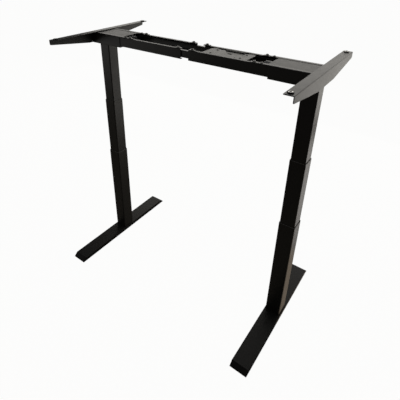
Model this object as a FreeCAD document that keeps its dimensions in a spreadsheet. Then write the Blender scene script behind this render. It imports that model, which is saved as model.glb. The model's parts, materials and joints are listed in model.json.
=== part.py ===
"""Frame of an electric height-adjustable desk, millimetres, +Z up.

Two three-stage lifting columns stand on flat feet.  A telescoping crossbeam joins their heads,
and two side brackets carry the desktop.  The origin is on the floor, at the middle of the feet.
The model stands near its tallest, with its beam nearly at its narrowest.
"""
import FreeCAD, Part
import os
from types import SimpleNamespace
import Sketcher

Vector = FreeCAD.Vector

DRIVING_SIZES = {
    # columns
    "leg_span": 1028.0,
    "column_set_back": 20.0,
    "outer_width": 70.0,
    "mid_width": 65.0,
    "inner_width": 60.0,
    "tube_wall": 1.5,
    "tube_corner": 5.0,
    "outer_top": 562.0,
    "mid_top": 869.0,
    "mid_bottom": 345.0,
    "inner_bottom": 655.0,
    "collar_depth": 40.0,
    "collar_rim": 1.5,
    "slide_gap": 0.15,
    # feet
    "foot_length": 700.0,
    "foot_width": 80.0,
    "foot_top": 25.0,
    "foot_rise": 5.0,
    "foot_slope": 21.0,
    "foot_wall": 3.0,
    "foot_bolt_spacing": 44.0,
    "base_plate": 6.0,
    "leveller_inset": 35.0,
    "leveller_pad_radius": 17.0,
    "leveller_stud_radius": 4.0,
    "leveller_stud_gap": 0.1,
    "leveller_stud_length": 11.5,
    "leveller_hub_radius": 9.0,
    "leveller_hub_height": 5.0,
    "cross_plate_low": 10.0,
    "cross_plate_length": 36.0,
    "cross_plate_wall": 3.0,
    "foot_bolt_radius": 3.9,
    "foot_bolt_head_radius": 6.5,
    "foot_bolt_head": 6.0,
    "foot_bolt_hole": 4.4,
    # lifting gear inside a column
    "drive_radius": 6.0,
    "drive_bottom": 650.0,
    "stage_screw_radius": 10.0,
    "stage_screw_bore": 7.0,
    "post_radius": 17.0,
    "post_bore": 14.5,
    "post_top": 480.0,
    "base_nut_top": 510.0,
    "carrier_radius": 20.0,
    "carrier_bore": 18.0,
    "carrier_plate": 8.0,
    "carrier_top": 835.0,
    "stage_nut_top": 850.0,
    "thread_gap": 0.1,
    # crossbeam
    "frame_top": 1232.0,
    "beam_width": 128.0,
    "head_depth": 51.0,
    "head_wall": 2.5,
    "head_lip": 17.0,
    "head_reach": 146.0,
    "lip_reach": 189.0,
    "cover_reach": 156.0,
    "cover_wall": 2.0,
    "rail_height": 42.5,
    "rail_lip": 14.0,
    "rail_wall": 2.0,
    "rail_gap": 38.0,
    "rail_end": 470.0,
    "bar_length": 680.0,
    "bar_height": 30.0,
    "bar_lip": 14.0,
    "bar_wall": 2.5,
    "bar_inset": 3.0,
    "bar_drop": 4.0,
    "glide_length": 12.0,
    "gearbox_length": 70.0,
    "gearbox_width": 80.0,
    "gearbox_height": 40.0,
    "motor_radius": 21.0,
    "motor_reach": 192.0,
    # tray between the right-hand rails
    "tray_start": 73.0,
    "tray_length": 198.0,
    "tray_wall": 2.0,
    "tray_back": 35.0,
    "tray_gap": 0.3,
    "tray_tab": 24.0,
    "tray_tab_inset": 18.0,
    "tray_rib_length": 86.0,
    "tray_rib": 4.0,
    "tray_rib_shift": 10.0,
    "tray_slot_at": 104.0,
    "tray_slot_length": 18.0,
    "tray_slot_width": 11.0,
    "tray_hole": 2.6,
    "tray_spare_hole_at": 145.0,
    "tray_spare_hole_back": 38.0,
    "box_length": 150.0,
    "box_width": 66.0,
    "box_height": 34.0,
    "box_shift": 5.0,
    "box_corner": 4.0,
    "box_screw_x": 66.0,
    "box_screw_y": 27.0,
    "box_screw_head_radius": 4.2,
    "box_screw_head": 1.8,
    "box_screw_radius": 2.1,
    "box_screw_depth": 8.0,
    "box_socket_radius": 2.3,
    "box_socket_depth": 9.0,
    # side brackets
    "bracket_length": 596.0,
    "bracket_shift": 16.0,
    "bracket_flange": 35.0,
    "bracket_wall": 3.0,
    "bracket_depth": 53.0,
    "bracket_tip": 24.0,
    "bracket_flat": 160.0,
    "grommet_inset": 20.0,
    "grommet_radius": 10.0,
    "grommet_bore": 5.5,
    "grommet_rise": 4.0,
    "grommet_under": 2.0,
    "grommet_neck": 8.0,
    # fasteners
    "shank_radius": 2.9,
    "hole_radius": 3.1,
    "bolt_flange_radius": 6.4,
    "bolt_flange": 1.0,
    "bolt_hexagon_radius": 5.1,
    "bolt_head": 2.2,
    "clamp_bolt_flange_radius": 8.0,
    "clamp_bolt_flange": 1.4,
    "clamp_bolt_hexagon_radius": 6.4,
    "clamp_bolt_head": 3.6,
    "clamp_length": 30.0,
    "clamp_wall": 2.0,
    "clamp_near": 35.0,
    "clamp_far": 308.0,
    "low_screw_inset": 1.6,
    # inside the heads
    "screw_room_radius": 8.0,
    "stud_hole_radius": 3.3,
    "stud_nut_radius": 5.5,
    "stud_nut_height": 4.5,
    "stud_nut_bore": 3.0,
    "stud_radius": 2.9,
    "stud_length": 12.0,
    "stud_side": 50.0,
    "stud_low": 14.0,
    "stud_high": 36.0,
    "gearbox_corner": 5.0,
    "motor_lift": 2.0,
    "motor_cap_step": 3.0,
    "motor_cap_length": 4.0,
    "motor_boss_radius": 6.0,
    "motor_boss_length": 2.0,
}

doc = FreeCAD.newDocument("desk_frame")
sheet = doc.addObject("Spreadsheet::Sheet", "Sizes")
sub_parts = []


class Dim:
    """A length: its number now, and the sheet expression that drives it."""

    def __init__(self, text, number):
        self.text = text
        self.number = number

    def _join(self, sign, other, number):
        return Dim("(%s %s %s)" % (self.text, sign, other.text), number)

    def __add__(self, other):
        other = dim(other)
        return self._join("+", other, self.number + other.number)

    def __sub__(self, other):
        other = dim(other)
        return self._join("-", other, self.number - other.number)

    def __mul__(self, other):
        other = dim(other)
        return self._join("*", other, self.number * other.number)

    def __truediv__(self, other):
        other = dim(other)
        return self._join("/", other, self.number / other.number)

    def __neg__(self):
        return self * -1

    def __radd__(self, other):
        return dim(other) + self

    def __rsub__(self, other):
        return dim(other) - self

    __rmul__ = __mul__


def dim(value):
    """A plain number as a Dim; a Dim as it is."""
    if isinstance(value, Dim):
        return value
    return Dim("(%s)" % float(value), float(value))


def fill_sheet():
    """Writes the driving sizes to the sheet and returns them as Dims."""
    dims = SimpleNamespace()
    for row, (alias, number) in enumerate(DRIVING_SIZES.items(), start=1):
        sheet.set("A%d" % row, alias)
        sheet.set("B%d" % row, str(number))
        sheet.setAlias("B%d" % row, alias)
        setattr(dims, alias, Dim("Sizes." + alias, number))
    doc.recompute()
    return dims


size = fill_sheet()

# Levels and offsets that several pieces share.
beam_top = size.frame_top - size.bracket_wall
head_floor = beam_top - size.head_depth
rail_top = beam_top - size.head_wall
rail_bottom = rail_top - size.rail_height
rail_out = size.beam_width / 2 - size.head_wall
rail_in = rail_out - size.rail_wall
lip_middle = rail_out - size.rail_lip / 2
bar_top = rail_top - size.rail_wall - size.bar_drop
bar_out = rail_in - size.bar_inset
head_end = size.leg_span / 2 + size.outer_width / 2 + 8 - size.bracket_wall
bracket_out = head_end + size.bracket_wall
column_y = size.column_set_back
under_plate = size.foot_top - size.foot_wall
gearbox_low = head_floor + size.head_wall
shank_tip = bar_top + 1.5


def bind(thing, **expressions):
    """Binds properties of an object to the sheet."""
    for name, value in expressions.items():
        thing.setExpression(name, dim(value).text)


def place(thing, x, y, z, turn=None):
    """Binds where an object stands; turn is its rotation."""
    if turn:
        thing.Placement = FreeCAD.Placement(Vector(), turn)
    for axis, value in zip("xyz", (x, y, z)):
        thing.setExpression("Placement.Base." + axis, dim(value).text)
    return thing


def block(name, x, y, low, length, width, height):
    """A box by its middle in X and Y and its underside."""
    box = doc.addObject("Part::Box", name)
    bind(box, Length=length, Width=width, Height=height)
    return place(box, x - dim(length) / 2, y - dim(width) / 2, low)


def rod(name, x, y, low, radius, height):
    """An upright cylinder by its axis and its underside."""
    cylinder = doc.addObject("Part::Cylinder", name)
    bind(cylinder, Radius=radius, Height=height)
    return place(cylinder, x, y, low)


def lying_rod(name, x, y, z, radius, length, side=1):
    """A cylinder along X that starts at x and runs towards the beam's middle."""
    cylinder = doc.addObject("Part::Cylinder", name)
    bind(cylinder, Radius=radius, Height=length)
    return place(cylinder, x, y, z, FreeCAD.Rotation(Vector(0, 1, 0), -90 * side))


def fuse(name, *pieces):
    union = doc.addObject("Part::MultiFuse", name)
    union.Shapes = list(pieces)
    union.Refine = True
    return union


def cut(name, base, *tools):
    difference = doc.addObject("Part::Cut", name)
    difference.Base = base
    difference.Tool = tools[0] if len(tools) == 1 else fuse(name + "_tools", *tools)
    return difference


def group(name, *pieces):
    compound = doc.addObject("Part::Compound", name)
    compound.Links = list(pieces)
    return compound


def publish(thing, label):
    """Names a sub-part; its label is also its file's name."""
    thing.Label = label
    sub_parts.append(thing)
    return thing


def sketch_on(body, role, name, loops):
    """A sketch of closed straight-sided loops, each corner bound to the sheet."""
    plane = [f for f in body.Origin.OriginFeatures if getattr(f, "Role", "") == role][0]
    sketch = body.newObject("Sketcher::SketchObject", name)
    sketch.AttachmentSupport = [(plane, "")]
    sketch.MapMode = "FlatFace"
    first = 0
    for loop in loops:
        corners = [(dim(u), dim(v)) for u, v in loop]
        spots = [Vector(u.number, v.number, 0) for u, v in corners]
        count = len(corners)
        for i in range(count):
            sketch.addGeometry(Part.LineSegment(spots[i], spots[(i + 1) % count]))
        for i in range(count):
            follower = first + (i + 1) % count
            sketch.addConstraint(Sketcher.Constraint("Coincident", first + i, 2, follower, 1))
        for i, corner in enumerate(corners):
            pin_corner(sketch, first + i, corner)
        first += count
    return sketch


def pin_corner(sketch, line, corner):
    """Binds the start of a line in a sketch to its two distances from the origin."""
    for kind, axis, value in (("DistanceX", -2, corner[0]), ("DistanceY", -1, corner[1])):
        if abs(value.number) < 1e-9:
            sketch.addConstraint(Sketcher.Constraint("PointOnObject", line, 1, axis))
            continue
        index = sketch.addConstraint(Sketcher.Constraint(kind, -1, 1, line, 1, value.number))
        sketch.setExpression("Constraints[%d]" % index, value.text)


def pad(body, name, role, loops, length, symmetric=False, reverse=False):
    """A pad of closed loops on one of the body's own planes."""
    feature = body.newObject("PartDesign::Pad", name)
    feature.Profile = sketch_on(body, role, name + "_sketch", loops)
    feature.SideType = "Symmetric" if symmetric else "One side"
    feature.Reversed = reverse
    bind(feature, Length=length)
    doc.recompute()
    return feature


def round_edges(body, name, radius, wanted):
    """Fillets the edges of the body's tip for which wanted(edge) is true."""
    base = body.Tip
    names = ["Edge%d" % (i + 1) for i, edge in enumerate(base.Shape.Edges) if wanted(edge)]
    fillet = body.newObject("PartDesign::Fillet", name)
    fillet.Base = (base, names)
    bind(fillet, Radius=radius)
    doc.recompute()
    return fillet


def runs_along(axis, **at):
    """A test for straight edges along an axis whose middle has the given coordinates."""

    def test(edge):
        if len(edge.Vertexes) != 2:
            return False
        way = edge.Vertexes[1].Point - edge.Vertexes[0].Point
        if abs(abs(getattr(way, axis)) - way.Length) > 1e-6:
            return False
        middle = (edge.Vertexes[0].Point + edge.Vertexes[1].Point) / 2
        return all(abs(abs(getattr(middle, key)) - abs(dim(value).number)) < 0.01
                   for key, value in at.items())

    return test


def square(width):
    half = dim(width) / 2
    return [(-half, -half), (half, -half), (half, half), (-half, half)]


def square_tube(name, x, low, outside, inside, height, corner, inner_corner):
    """A square tube, rounded inside and out, on a column's axis."""
    body = doc.addObject("PartDesign::Body", name)
    pad(body, name + "_wall", "XY_Plane", [square(outside), square(inside)], height)
    half, inner_half = dim(outside) / 2, dim(inside) / 2
    round_edges(body, name + "_corners", corner, runs_along("z", x=half, y=half))
    round_edges(body, name + "_inner", inner_corner, runs_along("z", x=inner_half, y=inner_half))
    return place(body, x, column_y, low)


def channel(name, x, face, low, length, height, lip, wall, facing):
    """A C-shaped rail along X; face is its back, and its lips point in +Y or -Y."""
    body = doc.addObject("PartDesign::Body", name)
    outline = [(0, 0), (lip, 0), (lip, wall), (wall, wall), (wall, height - wall),
               (lip, height - wall), (lip, height), (0, height)]
    loop = [(dim(u) * facing, dim(v)) for u, v in outline]
    pad(body, name + "_fold", "YZ_Plane", [loop], length, symmetric=True)
    round_edges(body, name + "_bends", wall, runs_along("x", y=0))
    return place(body, x, face, low)


def bolt(name, x, y, seat, reach, kind="bolt"):
    """A flanged hexagon bolt; its head stands on the seat and its shank reaches down from there."""
    flange, head = getattr(size, kind + "_flange"), getattr(size, kind + "_head")
    hexagon = doc.addObject("Part::Prism", name + "_hexagon")
    hexagon.Polygon = 6
    bind(hexagon, Circumradius=getattr(size, kind + "_hexagon_radius"), Height=head)
    place(hexagon, x, y, seat + flange)
    skirt = rod(name + "_skirt", x, y, seat, getattr(size, kind + "_flange_radius"), flange)
    shank = rod(name + "_shank", x, y, seat - reach, size.shank_radius, reach)
    return fuse(name, skirt, hexagon, shank)


# ---------------------------------------------------------------- feet


def make_foot(label, x):
    """A pressed flat foot, open below, with sloped ends and two threaded cross plates."""
    body = doc.addObject("PartDesign::Body", label + "_press")
    half = size.foot_length / 2
    wall = size.foot_wall
    low, top = size.foot_rise, size.foot_top
    outline = [(-half, low), (half, low), (half - size.foot_slope, top), (size.foot_slope - half, top)]
    hollow = [(wall * 1.6 - half, low - 1), (half - wall * 1.6, low - 1),
              (half - size.foot_slope - wall * 0.8, top - wall),
              (size.foot_slope + wall * 0.8 - half, top - wall)]
    pad(body, label + "_outside", "YZ_Plane", [outline], size.foot_width, symmetric=True)
    round_edges(body, label + "_edges", 2.0, runs_along("y", x=size.foot_width / 2, z=top))
    pocket = body.newObject("PartDesign::Pocket", label + "_hollow")
    pocket.Profile = sketch_on(body, "YZ_Plane", label + "_hollow_sketch", [hollow])
    pocket.SideType = "Symmetric"
    bind(pocket, Length=size.foot_width - wall * 2)
    doc.recompute()
    place(body, x, 0, 0)
    inner = size.foot_width - wall * 2
    plates, holes = [], []
    for end, y in leveller_places():
        plates.append(block(label + end + "_plate", x, y, size.cross_plate_low, inner,
                            size.cross_plate_length, size.cross_plate_wall))
        holes.append(rod(label + end + "_thread", x, y, size.cross_plate_low - 1,
                         size.leveller_stud_radius + size.slide_gap, size.cross_plate_wall + 2))
    for i, y in enumerate(foot_bolt_places()):
        holes.append(rod("%s_bolt_hole%d" % (label, i), x, y, under_plate - 1, size.foot_bolt_hole,
                         wall + 2))
    whole = fuse(label + "_whole", body, *plates)
    publish(cut(label + "_drilled", whole, *holes), label)


def leveller_places():
    reach = size.foot_length / 2 - size.leveller_inset
    return (("_front", -reach), ("_rear", reach))


def foot_bolt_places():
    return (column_y - size.foot_bolt_spacing / 2, column_y + size.foot_bolt_spacing / 2)


def make_levellers(side, x):
    """Screw-in levelling feet: a pad, a hub and a stud, one at each end of the foot."""
    for end, y in leveller_places():
        label = side + end + "_leveller"
        pad_disc = rod(label + "_pad", x, y, 0, size.leveller_pad_radius, size.foot_rise)
        hub = rod(label + "_hub", x, y, size.foot_rise, size.leveller_hub_radius,
                  size.leveller_hub_height)
        stud = rod(label + "_stud", x, y, size.foot_rise + size.leveller_hub_height,
                   size.leveller_stud_radius - size.leveller_stud_gap, size.leveller_stud_length)
        publish(fuse(label + "_whole", pad_disc, hub, stud), label)


def make_foot_bolts(side, x):
    """The bolts that hold the column's base plate down, from under the foot."""
    bolts = []
    for i, y in enumerate(foot_bolt_places()):
        name = "%s_foot_bolt%d" % (side, i)
        head = rod(name + "_head", x, y, under_plate - size.foot_bolt_head, size.foot_bolt_head_radius,
                   size.foot_bolt_head)
        shank = rod(name + "_shank", x, y, under_plate, size.foot_bolt_radius,
                    size.foot_wall + size.base_plate)
        bolts.append(fuse(name, head, shank))
    publish(group(side + "_foot_bolt_group", *bolts), side + "_foot_bolts")


# ---------------------------------------------------------------- columns


def make_tubes(side, x):
    """The three square tubes of a column, largest at the bottom."""
    wall = size.tube_wall
    corner = size.tube_corner
    stages = (("outer", size.outer_width, size.foot_top, size.outer_top),
              ("mid", size.mid_width, size.mid_bottom, size.mid_top),
              ("inner", size.inner_width, size.inner_bottom, head_floor))
    for stage, width, low, top in stages:
        name = "%s_%s" % (side, stage)
        tube = square_tube(name, x, low, width, width - wall * 2, top - low, corner, corner - wall)
        publish(tube, name + "_tube")


def make_glides(side, x):
    """Plastic collars in the mouths of the tubes, and shoes on the ends that slide in them."""
    wall, gap, depth, rim = size.tube_wall, size.slide_gap, size.collar_depth, size.collar_rim
    pairs = (("outer", size.outer_width, size.mid_width, size.outer_top),
             ("mid", size.mid_width, size.inner_width, size.mid_top))
    for stage, around, inside, mouth in pairs:
        name = "%s_%s_collar" % (side, stage)
        bore = inside + gap * 2
        sleeve = square_tube(name + "_sleeve", x, mouth - depth, around - wall * 2, bore, depth,
                             size.tube_corner - wall, 2.5)
        flange = square_tube(name + "_flange", x, mouth, around - 0.6, bore, rim,
                             size.tube_corner - 0.3, 2.5)
        publish(fuse(name + "_whole", sleeve, flange), name)
    shoes = (("mid", size.outer_width, size.mid_width, size.mid_bottom),
             ("inner", size.mid_width, size.inner_width, size.inner_bottom))
    for stage, around, inside, low in shoes:
        name = "%s_%s_shoe" % (side, stage)
        outside = around - wall * 2 - gap * 2
        publish(square_tube(name, x, low, outside, inside, depth, 4.0, 3.0), name)


def make_lifting_gear(side, x):
    """Two nested screws: one turns in a nut on the middle tube, one in a nut on the foot."""
    y = column_y
    plate_low = size.foot_top
    plate_width = size.outer_width - size.tube_wall * 2
    post_low = plate_low + size.base_plate
    base = doc.addObject("PartDesign::Body", side + "_base_plate")
    pad(base, side + "_base", "XY_Plane", [square(plate_width)], size.base_plate)
    half = plate_width / 2
    round_edges(base, side + "_base_corners", size.tube_corner - size.tube_wall,
                runs_along("z", x=half, y=half))
    place(base, x, y, plate_low)
    post = ring(side + "_post", x, post_low, size.post_top - post_low, size.post_radius, size.post_bore)
    holes = [rod("%s_base_hole%d" % (side, i), x, spot, plate_low - 1, 4.0, size.base_plate + 2)
             for i, spot in enumerate(foot_bolt_places())]
    base_whole = fuse(side + "_base_whole", base, post)
    publish(cut(side + "_base_drilled", base_whole, *holes), side + "_base_post")

    nut_height = size.base_nut_top - size.post_top
    nut = ring(side + "_base_nut_ring", x, size.post_top, nut_height, size.post_radius,
               size.stage_screw_radius + size.thread_gap)
    publish(nut, side + "_base_nut")

    carrier = block(side + "_carrier_plate", x, y, size.mid_bottom, size.mid_width - size.tube_wall * 2,
                    size.mid_width - size.tube_wall * 2, size.carrier_plate)
    soft_carrier = doc.addObject("Part::Fillet", side + "_carrier_corners")
    soft_carrier.Base = carrier
    doc.recompute()
    upright = [(i + 1, 3.6, 3.6) for i, edge in enumerate(carrier.Shape.Edges)
               if abs(edge.BoundBox.ZLength - size.carrier_plate.number) < 1e-6
               and edge.BoundBox.XLength < 1e-6 and edge.BoundBox.YLength < 1e-6]
    soft_carrier.Edges = upright
    carrier_low = size.mid_bottom + size.carrier_plate
    riser = rod(side + "_riser", x, y, carrier_low, size.carrier_radius, size.carrier_top - carrier_low)
    bore = rod(side + "_riser_bore", x, y, size.mid_bottom - 1, size.carrier_bore,
               size.carrier_top - size.mid_bottom + 2)
    riser_whole = fuse(side + "_riser_whole", soft_carrier, riser)
    publish(cut(side + "_riser_drilled", riser_whole, bore), side + "_stage_carrier")

    nut_height = size.stage_nut_top - size.carrier_top
    nut = ring(side + "_stage_nut_ring", x, size.carrier_top, nut_height, size.carrier_radius,
               size.drive_radius + size.thread_gap)
    publish(nut, side + "_stage_nut")

    screw_low = size.mid_bottom - 5
    screw = ring(side + "_stage_thread", x, screw_low, size.carrier_top - 0.5 - screw_low,
                 size.stage_screw_radius, size.stage_screw_bore)
    publish(screw, side + "_stage_screw")

    drive_top = gearbox_low + size.gearbox_height - 8
    drive = rod(side + "_drive_thread", x, y, size.drive_bottom, size.drive_radius,
                drive_top - size.drive_bottom)
    publish(drive, side + "_drive_screw")


def ring(name, x, low, height, radius, bore):
    """A round tube on a column's axis."""
    solid = rod(name + "_solid", x, column_y, low, radius, height)
    hole = rod(name + "_hole", x, column_y, low - 1, bore, height + 2)
    return cut(name, solid, hole)


# ---------------------------------------------------------------- heads


def rail_faces():
    """Front and rear: the way the lips point, and its name."""
    return (("front", 1), ("rear", -1))


def make_head(side, sign, x):
    """The folded housing on top of a column, its cover, gearbox and motor."""
    label = side + "_head_housing"
    body = doc.addObject("PartDesign::Body", label + "_fold")
    half, depth, wall, lip = size.beam_width / 2, size.head_depth, size.head_wall, size.head_lip
    outline = [(-half, 0), (half, 0), (half, depth), (half - lip, depth), (half - lip, depth - wall),
               (half - wall, depth - wall), (half - wall, wall), (wall - half, wall),
               (wall - half, depth - wall), (lip - half, depth - wall), (lip - half, depth),
               (-half, depth)]
    inward = sign > 0
    lip_length = head_end - (size.leg_span / 2 - size.lip_reach)
    pad(body, label + "_channel", "YZ_Plane", [outline], lip_length, reverse=inward)
    end_wall = [(-half, 0), (half, 0), (half, depth), (-half, depth)]
    pad(body, label + "_end", "YZ_Plane", [end_wall], wall, reverse=inward)
    round_edges(body, label + "_bends", wall, runs_along("x", y=half))
    place(body, head_end * sign, column_y, head_floor)

    cut_from = size.leg_span / 2 - size.head_reach
    notch_length = size.lip_reach - size.head_reach + 10
    notch = block(label + "_notch", (cut_from - notch_length / 2) * sign, column_y, head_floor - 1,
                  notch_length, size.beam_width + 2, depth - wall + 1)
    holes = [rod(label + "_screw_hole", x, column_y, head_floor - 1,
                 size.screw_room_radius, wall + 2)]
    for place_name, facing in rail_faces():
        y = column_y - lip_middle * facing
        holes.append(rod(label + place_name + "_top", top_screw_x() * sign, y, rail_top - 1,
                         size.hole_radius, wall + 2))
        holes.append(rod(label + place_name + "_low", low_screw_x() * sign, low_screw_y(facing),
                         head_floor - 1, size.hole_radius, wall + 2))
    for i, (y, z) in enumerate(stud_places()):
        holes.append(lying_rod("%s_stud_hole%d" % (label, i), (head_end + 1) * sign, y, z,
                               size.stud_hole_radius, wall + 2, sign))
    publish(cut(label + "_drilled", body, notch, *holes), label)

    cover_length = head_end - wall - (size.leg_span / 2 - size.cover_reach)
    cover_middle = head_end - wall - cover_length / 2
    cover = block(side + "_cover_sheet", cover_middle * sign, column_y, rail_top - 0.5,
                  cover_length, (half - lip) * 2, size.cover_wall)
    publish(cover, side + "_head_cover")

    case = block(side + "_gear_case", x, column_y, gearbox_low, size.gearbox_length,
                 size.gearbox_width, size.gearbox_height)
    case_soft = doc.addObject("Part::Fillet", side + "_gear_case_soft")
    case_soft.Base = case
    doc.recompute()
    corner = size.gearbox_corner.number
    case_soft.Edges = [(i + 1, corner, corner) for i, edge in enumerate(case.Shape.Edges)
                       if edge.BoundBox.ZLength > 1 or edge.BoundBox.ZMin > gearbox_low.number + 1]
    socket = rod(side + "_gear_socket", x, column_y, gearbox_low - 1,
                 size.drive_radius + size.thread_gap, size.gearbox_height - 8 + 1.5)
    publish(cut(side + "_gear_drilled", case_soft, socket), side + "_gearbox")
    make_motor(side, sign)


def make_motor(side, sign):
    """A round geared motor that lies in the beam, from the gearbox towards the middle."""
    start = size.leg_span / 2 - size.gearbox_length / 2
    finish = size.leg_span / 2 - size.motor_reach
    axis_z = gearbox_low + size.motor_radius + size.motor_lift
    ends = size.motor_cap_length + size.motor_boss_length
    can = lying_rod(side + "_motor_can", start * sign, column_y, axis_z, size.motor_radius,
                    start - finish - ends, sign)
    cap = lying_rod(side + "_motor_cap", (finish + ends) * sign, column_y, axis_z,
                    size.motor_radius - size.motor_cap_step, size.motor_cap_length, sign)
    boss = lying_rod(side + "_motor_boss", (finish + size.motor_boss_length) * sign, column_y, axis_z,
                     size.motor_boss_radius, size.motor_boss_length, sign)
    publish(fuse(side + "_motor_whole", can, cap, boss), side + "_motor")


def top_screw_x():
    """Where the screws through the housing's top lips stand, from the beam's middle."""
    return size.leg_span / 2 - size.lip_reach + 12


def low_screw_x():
    """Where the screws through the housing's floor stand, from the beam's middle."""
    return size.leg_span / 2 - size.head_reach + 10


def low_screw_y(facing):
    """Their line on the rails' lower lips, a little inward so that the flanges clear the rails."""
    return column_y - (lip_middle - size.low_screw_inset) * facing


def stud_places():
    """The four weld studs that join a bracket to the end wall of its head."""
    return [(column_y + y, head_floor + z) for y in (size.stud_side * -1, size.stud_side)
            for z in (size.stud_low, size.stud_high)]


# ---------------------------------------------------------------- crossbeam


def make_rails(side, sign):
    """Front and rear rails, which run from inside the head towards the beam's middle."""
    length = size.rail_end - size.rail_gap / 2
    middle = (size.rail_end + size.rail_gap / 2) / 2
    for place_name, facing in rail_faces():
        label = "%s_%s_rail" % (side, place_name)
        face = column_y - rail_out * facing
        body = channel(label + "_channel", middle * sign, face, rail_bottom, length,
                       size.rail_height, size.rail_lip, size.rail_wall, facing)
        y = column_y - lip_middle * facing
        holes = [rod("%s_hole%d" % (label, i), at * sign, y, rail_top - size.rail_wall - 1,
                     size.hole_radius, size.rail_wall + 2)
                 for i, at in enumerate((size.clamp_near, size.clamp_far, top_screw_x()))]
        holes.append(rod(label + "_low_hole", low_screw_x() * sign, low_screw_y(facing),
                         rail_bottom - 1, size.hole_radius, size.rail_wall + 2))
        publish(cut(label + "_drilled", body, *holes), label)


def make_clamps(side, sign):
    """Clamp plates on the rails' top lips, at each end of the rails' free length."""
    plates = []
    for place_name, facing in rail_faces():
        y = column_y - lip_middle * facing
        for i, at in enumerate((size.clamp_near, size.clamp_far)):
            name = "%s_%s_clamp%d" % (side, place_name, i)
            plate = block(name + "_plate", at * sign, y, rail_top, size.clamp_length,
                          size.rail_lip, size.clamp_wall)
            hole = rod(name + "_hole", at * sign, y, rail_top - 1, size.hole_radius, size.clamp_wall + 2)
            plates.append(cut(name, plate, hole))
    publish(group(side + "_clamp_group", *plates), side + "_rail_clamps")


def make_fasteners(side, sign):
    """Clamp bolts, the screws between rails and housing, and the nuts on the bracket's studs."""
    pieces = []
    for place_name, facing in rail_faces():
        y = column_y - lip_middle * facing
        name = "%s_%s_fixing" % (side, place_name)
        for i, at in enumerate((size.clamp_near, size.clamp_far)):
            seat = rail_top + size.clamp_wall
            pieces.append(bolt("%s_clamp%d" % (name, i), at * sign, y, seat, seat - shank_tip,
                               kind="clamp_bolt"))
        pieces.append(bolt(name + "_top", top_screw_x() * sign, y, beam_top, beam_top - shank_tip))
        seat = rail_bottom + size.rail_wall
        pieces.append(bolt(name + "_low", low_screw_x() * sign, low_screw_y(facing), seat,
                           seat - head_floor))
    for i, (y, z) in enumerate(stud_places()):
        name = "%s_stud_nut%d" % (side, i)
        start = (head_end - size.head_wall) * sign
        nut = lying_rod(name + "_blank", start, y, z, size.stud_nut_radius, size.stud_nut_height, sign)
        hole = lying_rod(name + "_hole", (head_end - size.head_wall + 1) * sign, y, z,
                         size.stud_nut_bore, size.stud_nut_height + 2, sign)
        pieces.append(cut(name, nut, hole))
    publish(group(side + "_fixing_group", *pieces), side + "_head_fasteners")


def make_link():
    """The two bars that join the halves of the beam, with a plastic glide on each end."""
    glides = []
    for place_name, facing in rail_faces():
        face = column_y - bar_out * facing
        bar = channel(place_name + "_bar", dim(0), face, bar_top - size.bar_height, size.bar_length,
                      size.bar_height, size.bar_lip, size.bar_wall, facing)
        publish(bar, place_name + "_link_bar")
        depth = size.rail_lip - size.rail_wall
        y = column_y - (rail_in - 0.2 - depth / 2) * facing
        low = rail_bottom + size.rail_wall + 0.2
        for sign in (-1, 1):
            x = (size.bar_length / 2 + size.glide_length / 2) * sign
            glides.append(block("%s_glide%d" % (place_name, sign + 1), x, y, low, size.glide_length,
                                depth, bar_top + 1 - low))
    publish(group("glide_group", *glides), "link_bar_glides")


def make_tray():
    """The tray under the right-hand rails' lips, with the control box hung below it."""
    front = rail_in - size.tray_gap
    width = front + size.tray_back
    middle = size.tray_start + size.tray_length / 2
    top = rail_top - size.rail_wall
    low = top - size.tray_wall
    sheet_y = column_y + (size.tray_back - front) / 2
    pieces = [block("tray_sheet", middle, sheet_y, low, size.tray_length, width, size.tray_wall)]
    reach = front - size.tray_back
    tab_y = column_y + size.tray_back + reach / 2 - 0.5
    ends = (size.tray_start + size.tray_tab_inset,
            size.tray_start + size.tray_length - size.tray_tab_inset)
    for i, tab_x in enumerate(ends):
        pieces.append(block("tray_tab%d" % i, tab_x, tab_y, low, size.tray_tab, reach + 1,
                            size.tray_wall))
    rib_y = column_y + size.tray_back - 3
    pieces.append(block("tray_rib", middle + size.tray_rib_shift, rib_y, top, size.tray_rib_length,
                        size.tray_rib, size.tray_rib))
    slot = block("tray_slot", size.tray_start + size.tray_slot_at, column_y - 3, low - 1,
                 size.tray_slot_length, size.tray_slot_width, size.tray_wall + 2)
    spare_hole = (size.tray_start + size.tray_spare_hole_at, column_y - size.tray_spare_hole_back)
    holes = [rod("tray_hole%d" % i, x, y, low - 1, size.tray_hole, size.tray_wall + 2)
             for i, (x, y) in enumerate(box_screw_places() + [spare_hole])]
    publish(cut("tray_drilled", fuse("tray_whole", *pieces), slot, *holes), "control_tray")

    case = block("control_case", middle, column_y - size.box_shift, low - size.box_height,
                 size.box_length, size.box_width, size.box_height)
    soft = doc.addObject("Part::Fillet", "control_case_soft")
    soft.Base = case
    doc.recompute()
    corner = size.box_corner.number
    soft.Edges = [(i + 1, corner, corner) for i, edge in enumerate(case.Shape.Edges)
                  if edge.BoundBox.ZMax < low.number - 1 or edge.BoundBox.ZLength > 1]
    sockets = [rod("case_socket%d" % i, x, y, low - size.box_socket_depth, size.box_socket_radius,
                   size.box_socket_depth + 1)
               for i, (x, y) in enumerate(box_screw_places())]
    publish(cut("control_case_drilled", soft, *sockets), "control_box")

    screws = []
    for i, (x, y) in enumerate(box_screw_places()):
        name = "box_screw%d" % i
        head = rod(name + "_head", x, y, top, size.box_screw_head_radius, size.box_screw_head)
        shank = rod(name + "_shank", x, y, low - size.box_screw_depth, size.box_screw_radius,
                    size.tray_wall + size.box_screw_depth)
        screws.append(fuse(name, head, shank))
    publish(group("box_screw_group", *screws), "control_box_screws")


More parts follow.
